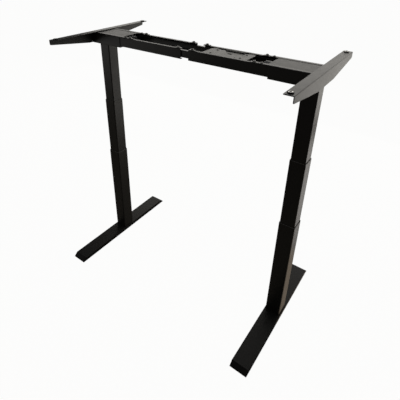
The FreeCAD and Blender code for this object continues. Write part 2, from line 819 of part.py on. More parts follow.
def box_screw_places():
    middle = size.tray_start + size.tray_length / 2
    return [(middle + x, column_y - size.box_shift + y)
            for x in (-size.box_screw_x, size.box_screw_x)
            for y in (-size.box_screw_y, size.box_screw_y)]


# ---------------------------------------------------------------- side brackets


def make_bracket(side, sign):
    """An L-shaped bracket: a flat flange under the desktop and a web that tapers to both ends."""
    label = side + "_side_bracket"
    body = doc.addObject("PartDesign::Body", label + "_fold")
    half, wall = size.bracket_length / 2, size.bracket_wall
    flat = size.bracket_flat / 2
    web = [(-half, 0), (-half, -size.bracket_tip), (-flat, -size.bracket_depth),
           (flat, -size.bracket_depth), (half, -size.bracket_tip), (half, 0)]
    flange = [(-half, -wall), (half, -wall), (half, 0), (-half, 0)]
    inward = sign > 0
    pad(body, label + "_web", "YZ_Plane", [web], wall, reverse=inward)
    pad(body, label + "_flange", "YZ_Plane", [flange], size.bracket_flange, reverse=inward)
    round_edges(body, label + "_bend", wall, runs_along("y", x=0, z=0))
    round_edges(body, label + "_tips", 6.0, runs_along("x", y=half, z=size.bracket_tip))
    round_edges(body, label + "_corners", 3.0, runs_along("z", x=size.bracket_flange, y=half))
    place(body, bracket_out * sign, size.bracket_shift, size.frame_top)
    studs = [lying_rod("%s_stud%d" % (label, i), (head_end + 0.5) * sign, y, z, size.stud_radius,
                       size.stud_length, sign) for i, (y, z) in enumerate(stud_places())]
    holes = [rod("%s_hole%d" % (label, i), x, y, size.frame_top - wall - 1, size.grommet_neck, wall + 2)
             for i, (x, y) in enumerate(grommet_places(sign))]
    publish(cut(label + "_drilled", fuse(label + "_whole", body, *studs), *holes), label)

    rings = [make_grommet("%s_grommet%d" % (side, i), x, y)
             for i, (x, y) in enumerate(grommet_places(sign))]
    publish(group(side + "_grommet_group", *rings), side + "_grommets")


def grommet_places(sign):
    x = (bracket_out - size.grommet_inset) * sign
    reach = size.bracket_length / 2 - size.grommet_inset
    return [(x, size.bracket_shift - reach), (x, size.bracket_shift + reach)]


def make_grommet(name, x, y):
    """A rubber grommet that grips the flange and stands a little proud of it."""
    top = size.frame_top
    low = size.frame_top - size.bracket_wall
    upper = rod(name + "_upper", x, y, top, size.grommet_radius, size.grommet_rise)
    neck = rod(name + "_neck", x, y, low, size.grommet_neck, size.bracket_wall)
    lower = rod(name + "_lower", x, y, low - size.grommet_under, size.grommet_radius, size.grommet_under)
    bore_low = low - size.grommet_under - 1
    bore = rod(name + "_bore", x, y, bore_low, size.grommet_bore, top + size.grommet_rise + 1 - bore_low)
    return cut(name, fuse(name + "_whole", upper, neck, lower), bore)


# ---------------------------------------------------------------- the whole frame


def make_half(side, sign):
    x = size.leg_span / 2 * sign
    make_foot(side + "_foot", x)
    make_levellers(side, x)
    make_foot_bolts(side, x)
    make_tubes(side, x)
    make_glides(side, x)
    make_lifting_gear(side, x)
    make_head(side, sign, x)
    make_rails(side, sign)
    make_clamps(side, sign)
    make_fasteners(side, sign)
    make_bracket(side, sign)


def check_model():
    """Stops if any object failed, or a sub-part has no valid shape."""
    for thing in doc.Objects:
        if "Invalid" in thing.State or "Error" in thing.State:
            raise RuntimeError("failed: %s (%s)" % (thing.Name, thing.State))
    for thing in sub_parts:
        if thing.Shape.isNull() or not thing.Shape.isValid() or not thing.Shape.Solids:
            raise RuntimeError("bad shape: " + thing.Label)


def write_parts():
    os.makedirs("parts", exist_ok=True)
    for thing in sub_parts:
        thing.Shape.exportStep("parts/%s.step" % thing.Label)


for half_name, half_sign in (("left", -1), ("right", 1)):
    make_half(half_name, half_sign)
make_link()
make_tray()
doc.recompute()
check_model()
write_parts()
for thing in sub_parts:
    print("%-22s %2d solids %12.1f mm3" % (thing.Label, len(thing.Shape.Solids), thing.Shape.Volume))
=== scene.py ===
"""Looks for the height adjustable desk frame: coats, plastics, fasteners, threads, floor and light."""

import json
import math

import bmesh
import bpy
from mathutils import Matrix, Vector


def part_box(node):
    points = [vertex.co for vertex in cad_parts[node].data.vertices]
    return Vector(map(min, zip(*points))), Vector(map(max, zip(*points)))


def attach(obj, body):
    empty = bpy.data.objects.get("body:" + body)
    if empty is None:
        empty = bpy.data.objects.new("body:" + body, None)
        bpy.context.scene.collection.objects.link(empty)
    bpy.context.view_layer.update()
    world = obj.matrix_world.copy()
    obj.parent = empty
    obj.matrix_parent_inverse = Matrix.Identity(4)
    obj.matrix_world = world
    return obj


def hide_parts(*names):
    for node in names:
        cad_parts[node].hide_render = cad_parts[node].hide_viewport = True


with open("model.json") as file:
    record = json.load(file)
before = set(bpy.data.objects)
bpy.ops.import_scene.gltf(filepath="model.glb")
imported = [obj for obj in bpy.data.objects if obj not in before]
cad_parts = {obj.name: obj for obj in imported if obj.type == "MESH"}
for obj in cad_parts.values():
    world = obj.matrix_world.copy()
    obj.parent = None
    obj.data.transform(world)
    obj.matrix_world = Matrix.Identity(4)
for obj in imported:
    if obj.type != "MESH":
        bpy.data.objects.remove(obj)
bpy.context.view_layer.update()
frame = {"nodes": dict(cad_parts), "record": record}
scene = bpy.context.scene
nodes = frame["nodes"]
bodies = {node: body for body, members in frame["record"]["behaviour"]["bodies"].items()
          for node in members}
slots = {part["node"]: part["material_slot"] for part in frame["record"]["subparts"]}
SIDES = ("left", "right")
MM = 0.001
TAU = 2 * math.pi

# ---------------------------------------------------------------- camera

CAMERA_PLACE = (0.8703, -1.2075, 1.5960)
CAMERA_YAW, CAMERA_PITCH, CAMERA_ROLL = -0.64009, -0.47452, 0.00321
CAMERA_LENS = 32.702
CAMERA_SHIFT = (0.0391, -0.1675)


def make_camera():
    """Stands at the front right, a little above the crossbeam, and looks down across it."""
    ahead = Vector((math.cos(CAMERA_PITCH) * math.sin(CAMERA_YAW),
                    math.cos(CAMERA_PITCH) * math.cos(CAMERA_YAW), math.sin(CAMERA_PITCH)))
    level = Vector((math.cos(CAMERA_YAW), -math.sin(CAMERA_YAW), 0))
    upright = level.cross(ahead)
    right = level * math.cos(CAMERA_ROLL) + upright * math.sin(CAMERA_ROLL)
    up = upright * math.cos(CAMERA_ROLL) - level * math.sin(CAMERA_ROLL)
    data = bpy.data.cameras.new("camera")
    data.sensor_width = 36
    data.lens = CAMERA_LENS
    data.shift_x, data.shift_y = CAMERA_SHIFT
    camera = bpy.data.objects.new("camera", data)
    turn = Matrix((right, up, -ahead)).transposed().to_4x4()
    camera.matrix_world = Matrix.Translation(CAMERA_PLACE) @ turn
    scene.collection.objects.link(camera)
    scene.camera = camera


# ---------------------------------------------------------------- finishes


class Wire:
    """A value that runs through a finish; arithmetic on it adds Math nodes."""

    def __init__(self, tree, socket):
        self.tree = tree
        self.socket = socket

    def _math(self, operation, first, second):
        node = self.tree.nodes.new("ShaderNodeMath")
        node.operation = operation
        for place, value in zip(node.inputs, (first, second)):
            if isinstance(value, Wire):
                self.tree.links.new(value.socket, place)
            else:
                place.default_value = value
        return Wire(self.tree, node.outputs[0])

    def __add__(self, other):
        return self._math("ADD", self, other)

    def __sub__(self, other):
        return self._math("SUBTRACT", self, other)

    def __mul__(self, other):
        return self._math("MULTIPLY", self, other)

    def __rsub__(self, other):
        return self._math("SUBTRACT", other, self)

    def above(self, edge, width):
        """0 under the edge, 1 above it, with a soft step of that width."""
        risen = (self - (edge - width / 2)) * (1 / width)
        return self._math("MAXIMUM", self._math("MINIMUM", risen, 1.0), 0.0)

    __radd__ = __add__
    __rmul__ = __mul__


class Shading:
    """The empty shader tree of a material or a world; every node is added through node()."""

    def __init__(self, owner):
        owner.use_nodes = True
        self.tree = owner.node_tree
        self.tree.nodes.clear()

    def node(self, kind, settings=None, **values):
        """Adds a node of that kind: settings are its own, values are numbers or wires for its inputs.
        An input goes by its name, or by its identifier where two share a name."""
        node = self.tree.nodes.new("ShaderNode" + kind)
        for name, value in (settings or {}).items():
            setattr(node, name, value)
        for name, value in values.items():
            label = name.replace("_", " ")
            socket = next(s for s in node.inputs
                          if s.enabled and (s.name == label or s.identifier == name))
            if isinstance(value, Wire):
                self.tree.links.new(value.socket, socket)
            elif socket.type == "RGBA":
                socket.default_value = (*value, 1)
            else:
                socket.default_value = value
        return {s.name: Wire(self.tree, s) for s in node.outputs if s.enabled}


class Finish(Shading):
    """One material, whose look ends in coat()."""

    def __init__(self, name):
        self.material = bpy.data.materials.new(name)
        super().__init__(self.material)
        self.place = self.node("TexCoord")["Object"]

    def grain(self, scale, detail=2.0, roughness=0.5, place=None):
        """Soft noise of that many cells a metre, from 0 to 1."""
        return self.node("TexNoise", Vector=place or self.place, Scale=scale, Detail=detail,
                         Roughness=roughness)["Fac"]

    def stretched(self, x, y, z):
        """The object's coordinates, scaled apart along each axis."""
        return self.node("Mapping", Vector=self.place, Scale=(x, y, z))["Vector"]

    def tint(self, factor, first, second):
        """A colour between two others."""
        return self.node("Mix", {"data_type": "RGBA"}, Factor=factor, A=first, B=second)["Result"]

    def relief(self, height, strength, distance, under=None):
        """Turns a height into a bump."""
        more = {"Normal": under} if under else {}
        return self.node("Bump", Height=height, Strength=strength, Distance=distance, **more)["Normal"]

    def coat(self, colour, roughness, normal, metallic=0.0, specular=0.5):
        """Ends the finish in one shader."""
        shader = self.node("BsdfPrincipled", Base_Color=colour, Roughness=roughness, Metallic=metallic,
                           Specular_IOR_Level=specular, Normal=normal)["BSDF"]
        self.node("OutputMaterial", Surface=shader)
        return self.material


DUST = (0.42, 0.40, 0.37)


def dimmed(shade, share):
    """A colour at that share of its brightness."""
    return tuple(c * share for c in shade)


def powder_coat(name, shade, rough, texture=1.0, dust=0.006, specular=0.5):
    """Baked powder: a fine pebbled skin, faint clouding, and a little dust on what faces up."""
    finish = Finish(name)
    cloud = finish.grain(5.0, 3.0)
    pebble = finish.grain(1500.0, 1.0)
    peel = finish.grain(330.0, 1.0)
    facing = finish.node("SeparateXYZ", Vector=finish.node("NewGeometry")["Normal"])["Z"]
    settled = facing.above(0.75, 0.4) * finish.grain(38.0, 4.0).above(0.52, 0.3) * dust
    coated = finish.tint(cloud * 0.7 + pebble * 0.3, dimmed(shade, 0.86), dimmed(shade, 1.18))
    colour = finish.tint(settled, coated, DUST)
    roughness = cloud * 0.06 + peel * 0.05 + settled * 2.0 + (rough - 0.055)
    skin = finish.relief(peel, 0.07 * texture, 0.0005)
    skin = finish.relief(pebble, 0.2 * texture, 0.0002, skin)
    return finish.coat(colour, roughness, skin, specular=specular)


def moulded(name, shade, rough, cell=900.0, depth=0.3, specular=0.45):
    """Moulded plastic or rubber: an even eroded skin with slight flow marks."""
    finish = Finish(name)
    flow = finish.grain(14.0, 2.0)
    skin = finish.grain(cell, 2.0)
    colour = finish.tint(flow * 0.6 + skin * 0.4, dimmed(shade, 0.8), dimmed(shade, 1.25))
    roughness = flow * 0.08 + skin * 0.06 + (rough - 0.07)
    return finish.coat(colour, roughness, finish.relief(skin, depth, 0.0003), specular=specular)


def worked_metal(name, shade, rough, marks, scratch=0.12, metallic=1.0, stain=(0.1, 0.09, 0.08)):
    """Bare, plated or oxidised metal: drawing or turning marks along an axis, and faint stains.
    Marks are how many there are to a metre along each axis."""
    finish = Finish(name)
    line = finish.grain(1.0, 3.0, 0.6, finish.stretched(*marks))
    spot = finish.grain(55.0, 4.0).above(0.6, 0.3)
    colour = finish.tint(spot * 0.35, finish.tint(line, dimmed(shade, 0.82), shade), stain)
    roughness = line * 0.16 + spot * 0.12 + (rough - 0.08)
    return finish.coat(colour, roughness, finish.relief(line, scratch, 0.0002), metallic)


def make_finishes():
    """One material for each slot of the record, and a few grades of those."""
    return {
        "column_and_foot_steel": powder_coat("column_powder_coat", (0.0105, 0.0101, 0.0096), rough=0.36),
        "foot_steel": powder_coat("foot_powder_coat", (0.0138, 0.0135, 0.0130), rough=0.40, texture=0.7,
                                  specular=0.15),
        "cover_steel": powder_coat("cover_powder_coat", (0.0112, 0.0108, 0.0102), rough=0.41,
                                   texture=1.2, dust=0.012, specular=0.36),
        "beam_steel": powder_coat("beam_powder_coat", (0.0125, 0.0121, 0.0116), rough=0.38,
                                  texture=1.2, dust=0.015),
        "link_bar_steel": powder_coat("link_bar_powder_coat", (0.0115, 0.0113, 0.0110), rough=0.33,
                                      texture=0.7),
        "clamp_steel": powder_coat("clamp_powder_coat", (0.030, 0.029, 0.028), rough=0.33, texture=0.8),
        "glide_plastic": moulded("glide_nylon", (0.012, 0.012, 0.012), rough=0.42, cell=700.0,
                                 depth=0.15),
        # Collar rims: a light grey that is partly the collars' own colour and partly a painted highlight,
        # standing in for the bright line where light catches the column steps.
        "collar_rim": moulded("collar_rim", (0.13, 0.127, 0.12), rough=0.34, cell=700.0, depth=0.12),
        "foot_plastic": moulded("leveller_plastic", (0.014, 0.014, 0.014), rough=0.5),
        "grommet_rubber": moulded("grommet_rubber", (0.008, 0.008, 0.008), rough=0.62, cell=1200.0,
                                  depth=0.2, specular=0.3),
        "box_plastic": moulded("control_box_plastic", (0.016, 0.016, 0.0165), rough=0.48, cell=1100.0,
                               depth=0.45),
        "fastener_steel": worked_metal("black_oxide", (0.15, 0.147, 0.142), rough=0.30,
                                       marks=(900, 900, 60), scratch=0.1, metallic=0.9,
                                       stain=(0.03, 0.028, 0.026)),
        "bare_steel": worked_metal("drawn_steel", (0.46, 0.45, 0.43), rough=0.33, marks=(800, 800, 14)),
        "zinc_plate": worked_metal("zinc_plate", (0.86, 0.85, 0.83), rough=0.22, marks=(300, 300, 300),
                                   scratch=0.05, stain=(0.6, 0.58, 0.55)),
        "screw_steel": worked_metal("greased_screw_steel", (0.50, 0.49, 0.46), rough=0.24,
                                    marks=(220, 220, 220), scratch=0.06),
        "nut_brass": worked_metal("turned_brass", (0.66, 0.48, 0.20), rough=0.28, marks=(60, 60, 1500),
                                  scratch=0.1, stain=(0.25, 0.15, 0.06)),
        "gearbox_casting": powder_coat("cast_gearbox", (0.030, 0.030, 0.031), rough=0.46, texture=2.0),
        "motor_can": powder_coat("motor_enamel", (0.016, 0.016, 0.0165), rough=0.30, texture=0.5),
    }


# ---------------------------------------------------------------- making pieces


def register(obj, body, slot, *replaced, finish=None):
    """Gives a finished piece its finish, its body and the CAD nodes that it stands for.
    The finish is the slot's own unless another grade is named."""
    obj.data.materials.clear()
    obj.data.materials.append(finishes[finish or slot])
    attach(obj, body)
    if replaced:
        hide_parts(*replaced)
    return obj


def as_object(name, bm):
    """An object at the origin from a bmesh, with its faces shaded smooth."""
    mesh = bpy.data.meshes.new(name)
    bm.to_mesh(mesh)
    bm.free()
    obj = bpy.data.objects.new(name, mesh)
    scene.collection.objects.link(obj)
    return obj


def settle(obj, keep):
    """Applies every modifier, and shades smooth except over edges sharper than keep degrees."""
    ready = obj.evaluated_get(bpy.context.evaluated_depsgraph_get())
    mesh = bpy.data.meshes.new_from_object(ready)
    obj.modifiers.clear()
    obj.data = mesh
    mesh.name = obj.name
    mesh.polygons.foreach_set("use_smooth", [True] * len(mesh.polygons))
    mesh.set_sharp_from_angle(angle=math.radians(keep))
    return obj


WELD = 2e-6
FLAT = math.radians(0.5)
SHARP = math.radians(40)


def merged(node):
    """The CAD node's mesh as one connected bmesh with flat areas made whole."""
    bm = bmesh.new()
    bm.from_mesh(nodes[node].data)
    bmesh.ops.remove_doubles(bm, verts=bm.verts, dist=WELD)
    bmesh.ops.dissolve_limit(bm, angle_limit=FLAT, verts=bm.verts, edges=bm.edges)
    return bm


def middle(low, high):
    """The point halfway between two."""
    return (low + high) / 2


def softened(node, width, slim=0.0, finish=None):
    """The CAD node's shape with its sharp edges rounded to a width in millimetres.
    With slim, its front and rear edges draw in by that much, for an open joint."""
    bm = merged(node)
    if slim:
        centre = middle(*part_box(node)).y
        for vert in bm.verts:
            vert.co.y += slim * MM * (1 if vert.co.y < centre else -1)
    obj = as_object(node + "_piece", bm)
    bevel = obj.modifiers.new("edges", "BEVEL")
    bevel.width = width * MM
    bevel.segments = 2
    bevel.limit_method = "ANGLE"
    bevel.angle_limit = SHARP
    bevel.use_clamp_overlap = False
    even = obj.modifiers.new("even_shading", "WEIGHTED_NORMAL")
    even.keep_sharp = True
    obj.data.polygons.foreach_set("use_smooth", [True] * len(obj.data.polygons))
    settle(obj, keep=60)
    return register(obj, bodies[node], slots[node], node, finish=finish)


def islands(node):
    """Lowest and highest corner of each separate solid of a CAD node."""
    bm = merged(node)
    seen, found = set(), []
    for start in bm.verts:
        if start in seen:
            continue
        stack, group = [start], []
        seen.add(start)
        while stack:
            vert = stack.pop()
            group.append(vert.co.copy())
            for edge in vert.link_edges:
                other = edge.other_vert(vert)
                if other not in seen:
                    seen.add(other)
                    stack.append(other)
        found.append((Vector([min(c[i] for c in group) for i in range(3)]),
                      Vector([max(c[i] for c in group) for i in range(3)])))
    bm.free()
    return sorted(found, key=lambda pair: tuple(round(c, 4) for c in pair[0]))


def turned(bm, rings, sides, at=(0, 0, 0), ring_shaped=False):
    """Adds stacked rings of (height, radius), in millimetres, round a point in metres.
    A radius may depend on the angle. The ends are closed, or with ring_shaped the last ring joins
    the first."""
    rows = []
    for height, radius in rings:
        row = []
        for i in range(sides):
            angle = TAU * i / sides
            reach = (radius(angle) if callable(radius) else radius) * MM
            row.append(bm.verts.new((at[0] + reach * math.cos(angle),
                                     at[1] + reach * math.sin(angle), at[2] + height * MM)))
        rows.append(row)
    pairs = list(zip(rows, rows[1:]))
    if ring_shaped:
        pairs.append((rows[-1], rows[0]))
    for low, high in pairs:
        for i in range(sides):
            j = (i + 1) % sides
            bm.faces.new((low[i], low[j], high[j], high[i]))
    if not ring_shaped:
        bm.faces.new(reversed(rows[0]))
        bm.faces.new(rows[-1])
    return bm


def hexagon(flats):
    """The radius of a hexagon of that width across flats, by angle."""
    def radius(angle):
        return flats / 2 / math.cos((angle + math.pi / 6) % (math.pi / 3) - math.pi / 6)
    return radius


def screw_thread(at, low, high, crest, depth, lead, starts, sides, steps, bore=None):
    """A rolled thread: each ring is a lobed section, turned a little further than the one below.
    Heights and radii are in millimetres; a bore makes it hollow."""
    pitch = lead / starts
    count = max(2, round((high - low) / pitch * steps))

    def section(height):
        def radius(angle):
            phase = (starts * angle / TAU - height / pitch) % 1.0
            rise = min(1.0, max(0.0, 1.6 - abs(phase - 0.5) * 5.0))
            return crest - depth * (1.0 - rise)
        return radius
    rings = [(low, crest - depth * 1.2)]
    rings += [(low + (high - low) * (i + 0.5) / count, section(i * (high - low) / count))
              for i in range(count)]
    rings.append((high, crest - depth * 1.2))
    if bore:
        rings += [(high, bore), (low, bore)]
    return turned(bmesh.new(), rings, sides, at, ring_shaped=bool(bore))


# ---------------------------------------------------------------- repeated fixings


def fixing_tree():
    """Geometry nodes that put one fixing on every point, aimed and spun as the point says."""
    tree = bpy.data.node_groups.new("fixings_on_points", "GeometryNodeTree")
    for name, kind in (("Points", "Geometry"), ("Fixing", "Object"), ("Spin", "Float"),
                       ("Seed", "Int"), ("Finish", "Material")):
        tree.interface.new_socket(name, in_out="INPUT", socket_type="NodeSocket" + kind)
    tree.interface.new_socket("Fixings", in_out="OUTPUT", socket_type="NodeSocketGeometry")

    def add(kind, settings=None, **links):
        node = tree.nodes.new(kind)
        for name, value in (settings or {}).items():
            setattr(node, name, value)
        for name, value in links.items():
            socket = next(s for s in node.inputs if s.name == name.replace("_", " ") and s.enabled)
            if isinstance(value, bpy.types.NodeSocket):
                tree.links.new(value, socket)
            else:
                socket.default_value = value
        return node

    given = add("NodeGroupInput").outputs
    fixing = add("GeometryNodeObjectInfo", Object=given["Fixing"], As_Instance=True)
    aim = add("GeometryNodeInputNamedAttribute", {"data_type": "FLOAT_VECTOR"}, Name="aim")
    turn = add("FunctionNodeAlignRotationToVector", {"axis": "Z"}, Vector=aim.outputs["Attribute"])
    copies = add("GeometryNodeInstanceOnPoints", Points=given["Points"],
                 Instance=fixing.outputs["Geometry"], Rotation=turn.outputs["Rotation"])
    chance = add("FunctionNodeRandomValue", {"data_type": "FLOAT"}, Max=given["Spin"], Seed=given["Seed"])
    spin = add("ShaderNodeCombineXYZ", Z=next(s for s in chance.outputs if s.enabled))
    spun = add("GeometryNodeRotateInstances", Instances=copies.outputs["Instances"],
               Rotation=spin.outputs["Vector"])
    real = add("GeometryNodeRealizeInstances", Geometry=spun.outputs["Instances"])
    dressed = add("GeometryNodeSetMaterial", Geometry=real.outputs["Geometry"], Material=given["Finish"])
    add("NodeGroupOutput", Fixings=dressed.outputs["Geometry"])
    return tree


def fixings(name, pattern, places, body, slot, *replaced, spin=TAU, seed=1):
    """Puts the pattern on each (point, aim), as one mesh that rides on a body."""
    mesh = bpy.data.meshes.new(name)
    mesh.from_pydata([point for point, _ in places], [], [])
    aims = mesh.attributes.new("aim", "FLOAT_VECTOR", "POINT")
    aims.data.foreach_set("vector", [c for _, aim in places for c in aim])
    obj = bpy.data.objects.new(name, mesh)
    scene.collection.objects.link(obj)
    nodes_on = obj.modifiers.new("fixings", "NODES")
    nodes_on.node_group = tree_of_fixings
    given = {item.name: item.identifier for item in tree_of_fixings.interface.items_tree
             if item.in_out == "INPUT"}
    for label, value in (("Fixing", pattern), ("Spin", spin), ("Seed", seed), ("Finish", finishes[slot])):
        nodes_on[given[label]] = value
    settle(obj, keep=32)
    return register(obj, body, slot, *replaced)


def flange_bolt(name, radius, skirt, flats, head, reach):
    """A low flanged bolt with a hexagon socket, seated at the origin with its shank below."""
    bm = bmesh.new()
    side = hexagon(flats)
    socket = hexagon(flats * 0.42)
    top = skirt + head
    tip, root, shank = 2.3, 2.45, 2.9
    rings = [(-reach, tip), (-reach + 0.6, shank)]
    for i in range(max(1, int(reach - 2.0))):
        rings += [(-reach + 1.1 + i, root), (-reach + 1.6 + i, shank)]
    rings += [(-0.3, shank), (0, shank), (0, radius - 0.25), (0.25, radius), (skirt * 0.55, radius),
              (skirt * 0.8, radius - 0.35), (skirt * 1.15, flats / 2 + 0.55), (skirt * 1.4, side),
              (top - head * 0.22, side), (top - 0.12, flats / 2 * 0.97), (top, flats / 2 * 0.9),
              (top, flats * 0.3), (top - 0.25, socket), (top - head * 0.75, socket)]
    return as_object(name, turned(bm, rings, 36))


def hexagon_nut(name, flats, height, bore):
    """A nut that stands on the origin, with chamfered corners and a threaded bore."""
    bm = bmesh.new()
    side = hexagon(flats)
    rings = [(0, bore + 0.3), (0, flats / 2 * 0.92), (height * 0.12, side), (height * 0.88, side),
             (height, flats / 2 * 0.92), (height, bore + 0.3)]
    turns = max(2, int(height / 0.8))
    for i in range(turns):
        rings += [(height * (1 - (i + 0.4) / turns), bore), (height * (1 - (i + 0.8) / turns), bore + 0.3)]
    return as_object(name, turned(bm, rings, 36, ring_shaped=True))


def socket_screw(name, radius, head, shank, reach, dome=0.0):
    """A round-headed screw with a hexagon socket, seated at the origin with its shank below."""
    bm = bmesh.new()
    socket = hexagon(radius * 0.95)
    rings = [(-reach, shank - 0.5), (-reach + 0.5, shank), (0, shank), (0, radius - 0.2), (0.2, radius),
             (head * 0.6, radius), (head - 0.2, radius * (0.95 - dome)), (head, radius * (0.85 - dome)),
             (head, radius * 0.56), (head - 0.2, socket), (head * 0.35, socket)]
    return as_object(name, turned(bm, rings, 36))


def seat(low, high, head):
    """The point under the head of an upright fixing that fills this box."""
    return (*middle(low, high).xy, high.z - head * MM)


def rimmed_opening(name, wide, high, wall, rise):
    """A raised rim round a slot or a plug socket, which stands on the origin; sizes in millimetres."""
    bm = bmesh.new()
    loops = []
    for inset, height in ((0, 0), (0, rise * 0.7), (0.25, rise), (wall, rise), (wall, 0.15)):
        x, y = (wide / 2 - inset) * MM, (high / 2 - inset) * MM
        loops.append([bm.verts.new((x * a, y * b, height * MM))
                      for a, b in ((-1, -1), (1, -1), (1, 1), (-1, 1))])
    for low, up in zip(loops, loops[1:]):
        for i in range(4):
            bm.faces.new((low[i], low[(i + 1) % 4], up[(i + 1) % 4], up[i]))
    bm.faces.new(reversed(loops[0]))
    bm.faces.new(loops[-1])
    return as_object(name, bm)


def discard(*patterns):
    """Takes the patterns away once their copies are made."""
    for pattern in patterns:
        bpy.data.objects.remove(pattern)


# ---------------------------------------------------------------- the frame's pieces


COVER_GAP = 1.3
OWN_GRADE = {"foot": "foot_steel", "head_cover": "cover_steel",
             "outer_collar": "collar_rim", "mid_collar": "collar_rim"}
SIDE_EDGES = {"foot": 1.2, "outer_tube": 0.35, "mid_tube": 0.35, "inner_tube": 0.35,
              "outer_collar": 0.3, "mid_collar": 0.3, "mid_shoe": 0.1, "inner_shoe": 0.1,
              "head_housing": 0.9, "head_cover": 0.6, "gearbox": 0.8, "motor": 0.8,
              "front_rail": 0.8, "rear_rail": 0.8, "rail_clamps": 0.4, "side_bracket": 0.6,
              "base_post": 0.1, "stage_carrier": 0.3}
SHARED_EDGES = {"front_link_bar": 0.4, "rear_link_bar": 0.4, "link_bar_glides": 0.6,
                "control_tray": 0.4, "control_box": 0.8}


def make_sheet_and_castings():
    """Every part whose form is already right gets its edges rounded as they are on the real one."""
    for side in SIDES:
        for part, width in SIDE_EDGES.items():
            slim = COVER_GAP if part == "head_cover" else 0.0
            softened(side + "_" + part, width, slim, OWN_GRADE.get(part))
    for node, width in SHARED_EDGES.items():
        softened(node, width)


CLAMP_BOLT = {"radius": 8.0, "skirt": 1.4, "flats": 10.6, "head": 3.6, "reach": 6.4}
HEAD_SCREW = {"radius": 6.4, "skirt": 1.0, "flats": 8.4, "head": 2.2, "reach": 6.9}
COLUMN_BOLT_HEAD = 6.0
BOX_SCREW_HEAD = 1.8
WIDEST_NUT = 6.0
NARROWEST_BOLT = 11.0


def width_of(box):
    """How wide the fixing in this box is, in millimetres."""
    return (box[1].x - box[0].x) / MM


def height_of(box):
    """How tall the fixing in this box is, in millimetres."""
    return (box[1].z - box[0].z) / MM


def make_bolts():
    """The bolts on the clamp plates, the screws through the heads, the nuts on the weld studs, the
    bolts under the columns and the control box's screws. Each stands where its CAD solid does."""
    up = (0, 0, 1)
    for side, outward in zip(SIDES, (-1, 1)):
        node = side + "_head_fasteners"
        found = islands(node)
        nuts = [box for box in found if width_of(box) < WIDEST_NUT]
        upright = [box for box in found if width_of(box) > NARROWEST_BOLT]
        widest = max(width_of(box) for box in upright)
        big = [box for box in upright if width_of(box) > widest - 1]
        small = [box for box in upright if box not in big]
        clamp_bolt = flange_bolt("clamp_bolt", **CLAMP_BOLT)
        head_screw = flange_bolt("head_screw", **HEAD_SCREW)
        nut = hexagon_nut("stud_nut", flats=10.0, height=4.5, bore=2.95)
        fixings(side + "_clamp_bolts", clamp_bolt,
                [(seat(*box, CLAMP_BOLT["skirt"] + CLAMP_BOLT["head"]), up) for box in big],
                side + "_head", "fastener_steel", node, seed=3)
        fixings(side + "_head_screws", head_screw,
                [(seat(*box, HEAD_SCREW["skirt"] + HEAD_SCREW["head"]), up) for box in small],
                side + "_head", "fastener_steel", seed=5)
        fixings(side + "_stud_nuts", nut,
                [((low.x if outward < 0 else high.x, *middle(low, high).yz), (-outward, 0, 0))
                 for low, high in nuts], side + "_head", "bare_steel", seed=7)
        discard(clamp_bolt, head_screw, nut)

        foot_node = side + "_foot_bolts"
        bolts = islands(foot_node)
        screw = socket_screw("column_bolt", radius=6.5, head=COLUMN_BOLT_HEAD, shank=3.9,
                             reach=height_of(bolts[0]) - COLUMN_BOLT_HEAD)
        fixings(side + "_column_bolts", screw,
                [((*middle(low, high).xy, low.z + COLUMN_BOLT_HEAD * MM), (0, 0, -1))
                 for low, high in bolts],
                side + "_foot", "fastener_steel", foot_node, seed=9)
        discard(screw)
    screws = islands("control_box_screws")
    pan = socket_screw("box_screw", radius=4.2, head=BOX_SCREW_HEAD, shank=2.1,
                       reach=height_of(screws[0]) - BOX_SCREW_HEAD, dome=0.12)
    fixings("control_box_fixings", pan, [(seat(*box, BOX_SCREW_HEAD), up) for box in screws],
            "right_head", "fastener_steel", "control_box_screws", seed=11)
    discard(pan)


CAP_SCREW_RING = 13.0
CAP_STEP = 2.0
SOCKETS_ALONG = (0.16, 0.37, 0.58, 0.82)
VENT_PITCH = 6.5
VENTS = 7


def make_drive_details():
    """The screws of the motors' end caps, and the vents and plug sockets of the control box."""
    cap_screw = socket_screw("cap_screw", radius=2.6, head=1.5, shank=1.4, reach=3.0, dome=0.1)
    for side, outward in zip(SIDES, (-1, 1)):
        low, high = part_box(side + "_motor")
        axis = middle(low, high)
        face = (high.x if outward < 0 else low.x) + CAP_STEP * MM * outward
        fixings(side + "_motor_cap_screws", cap_screw,
                [((face, axis.y + CAP_SCREW_RING * MM * math.cos(TAU * turn / 8),
                   axis.z + CAP_SCREW_RING * MM * math.sin(TAU * turn / 8)), (-outward, 0, 0))
                 for turn in (1, 3, 5, 7)],
                side + "_head", "fastener_steel", seed=13)
    discard(cap_screw)
    low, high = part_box("control_box")
    centre = middle(low, high)
    sunk = 0.05 * MM
    plug = rimmed_opening("plug_rim", wide=9.0, high=12.0, wall=1.2, rise=1.0)
    fixings("control_box_sockets", plug,
            [((high.x - sunk, low.y + (high.y - low.y) * share, centre.z - 3 * MM), (1, 0, 0))
             for share in SOCKETS_ALONG], "right_head", "box_plastic", spin=0.0)
    vent = rimmed_opening("vent_rim", wide=46.0, high=2.6, wall=0.7, rise=0.8)
    fixings("control_box_vents", vent,
            [((centre.x, centre.y + (i - VENTS // 2) * VENT_PITCH * MM, low.z + sunk), (0, 0, -1))
             for i in range(VENTS)], "right_head", "box_plastic", spin=0.0)
    discard(plug, vent)


RIBS = 24
RIB_DEPTH = 0.5
SPANNER = 16.6
STUD_THREAD = {"crest": 3.88, "depth": 0.55, "lead": 1.25, "starts": 1, "sides": 24, "steps": 6}


